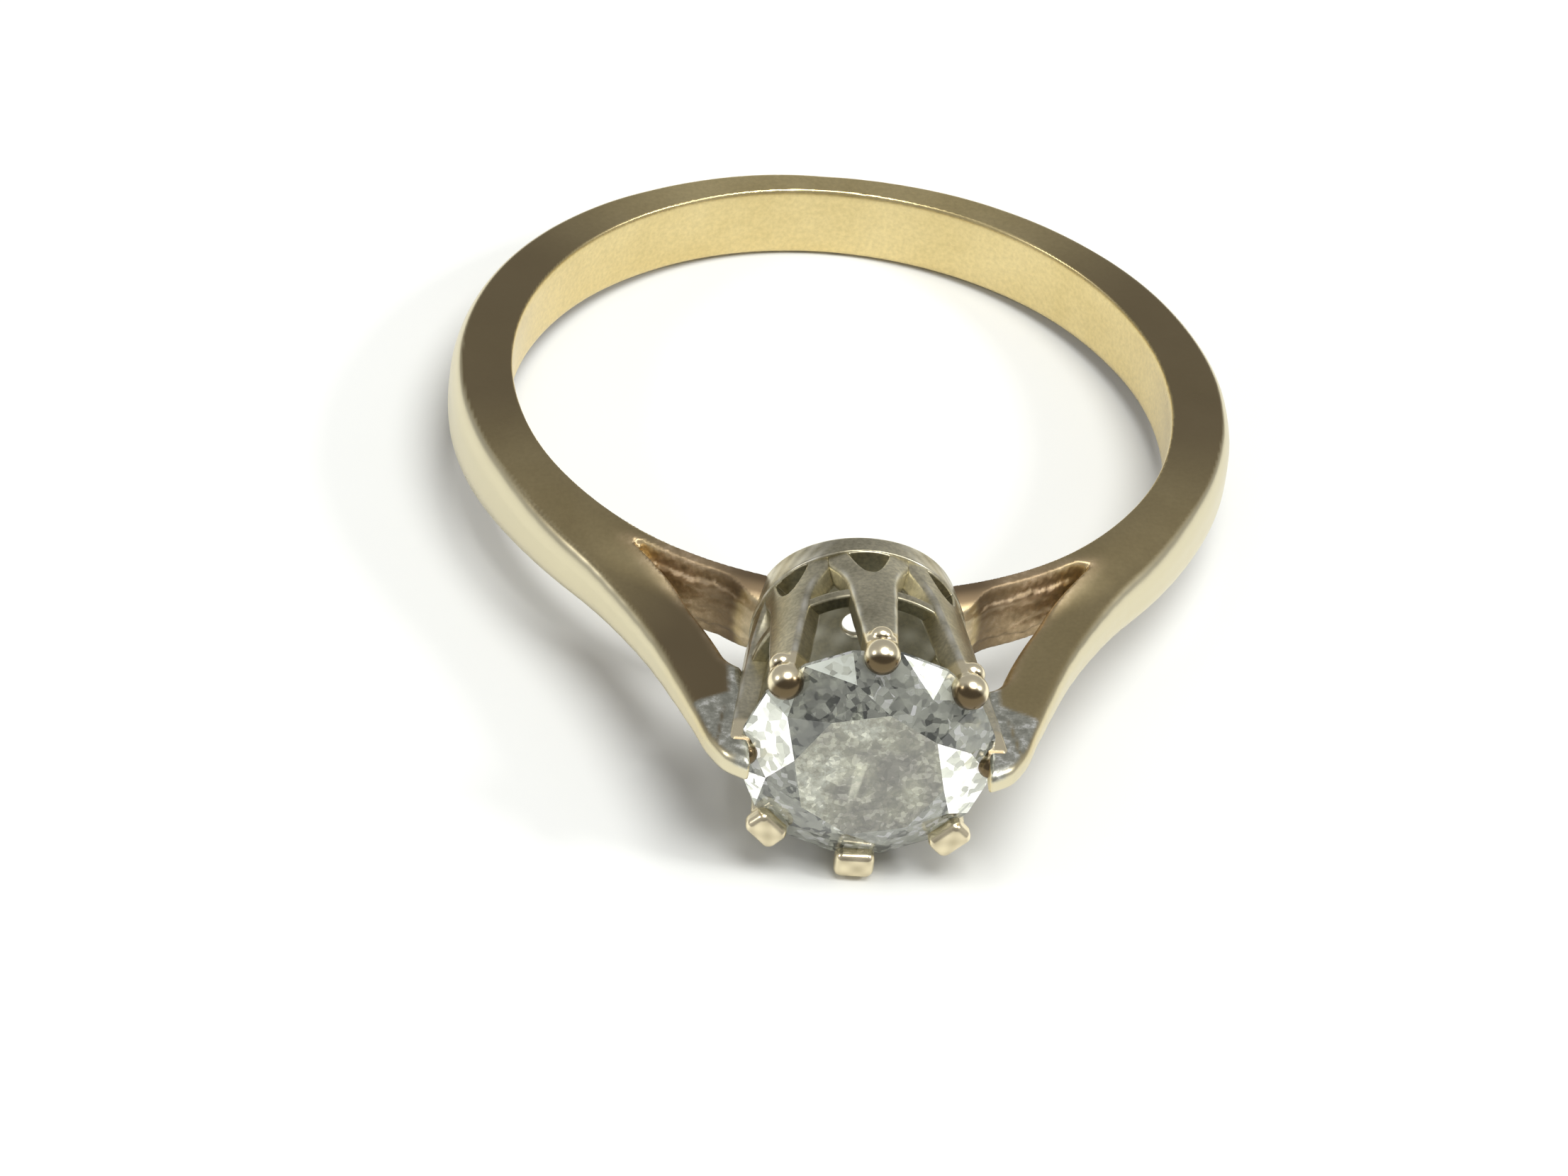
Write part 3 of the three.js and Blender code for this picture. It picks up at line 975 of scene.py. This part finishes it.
def pavilion_material(name, dark, light):
    """The underside of the stone, which throws the light back like a mirror; its two copies are
    painted light and painted shade.
    """
    material, tree, shader, place = new_material(name)
    tint = ramp(tree, shards(tree, place, BACK_SCALE), (0.3, dark), (0.7, light))
    tree.links.new(tint, shader.inputs["Base Color"])
    shader.inputs["Metallic"].default_value = BACK_METALLIC
    shader.inputs["Roughness"].default_value = POLISHED
    return material


def stone_materials():
    return [
        table_material(),
        *(crown_material(*tone) for tone in CROWN_TONES),
        pavilion_material("pavilion_light", *BACK_TINTS["light"]),
        pavilion_material("pavilion_dark", *BACK_TINTS["dark"]),
    ]


def floor_material():
    material, tree, shader, place = new_material("pale_floor")
    tint = ramp(tree, noise(tree, place, FLOOR_SCALE, 3), *FLOOR)
    tree.links.new(tint, shader.inputs["Base Color"])
    shader.inputs["Roughness"].default_value = FLOOR_ROUGH
    return material


# ---------------------------------------------------------------- floor and light

FLOOR_HALF = 1.5  # metres
LIGHT_DISTANCE = 0.6
# Each light's name, its direction from the part, its size in metres and its power in watts.
LIGHTS = (
    ("overhead", (0.15, -0.15, 1.0), 0.4, 2.95),
    ("key", (0.75, -0.15, 0.65), 0.1, 0.9),
    ("side", (-0.8, -0.1, 0.55), 0.12, 0.5),
)
SKY_COLOR = (0.97, 0.97, 1.0, 1)
SKY_STRENGTH = 0.38


def add_floor():
    signs = ((-1, -1), (1, -1), (1, 1), (-1, 1))
    corners = [(FLOOR_HALF * x, FLOOR_HALF * y, 0) for x, y in signs]
    floor = mesh_object("floor", corners, [(0, 1, 2, 3)], Matrix.Identity(4))
    floor.data.materials.append(floor_material())


def add_light(name, direction, size, power):
    data = bpy.data.lights.new(name, "AREA")
    data.shape = "DISK"
    data.size = size
    data.energy = power
    light = bpy.data.objects.new(name, data)
    bpy.context.scene.collection.objects.link(light)
    away = Vector(direction).normalized()
    light.matrix_world = Matrix.Translation(away * LIGHT_DISTANCE) @ looking(away)


def add_sky():
    world = bpy.data.worlds.new("studio")
    bpy.context.scene.world = world
    world.use_nodes = True
    background = world.node_tree.nodes["Background"]
    background.inputs["Color"].default_value = SKY_COLOR
    background.inputs["Strength"].default_value = SKY_STRENGTH


# ---------------------------------------------------------------- assembly

band = make_band()
coronet = make_coronet()
stone = make_stone()

band.data.materials.append(gold_material())
white = white_material()
for piece in coronet:
    piece.data.materials.append(white)
for material in stone_materials():
    stone.data.materials.append(material)

add_floor()
for light in LIGHTS:
    add_light(*light)
add_sky()
bpy.context.scene.view_settings.view_transform = "Standard"
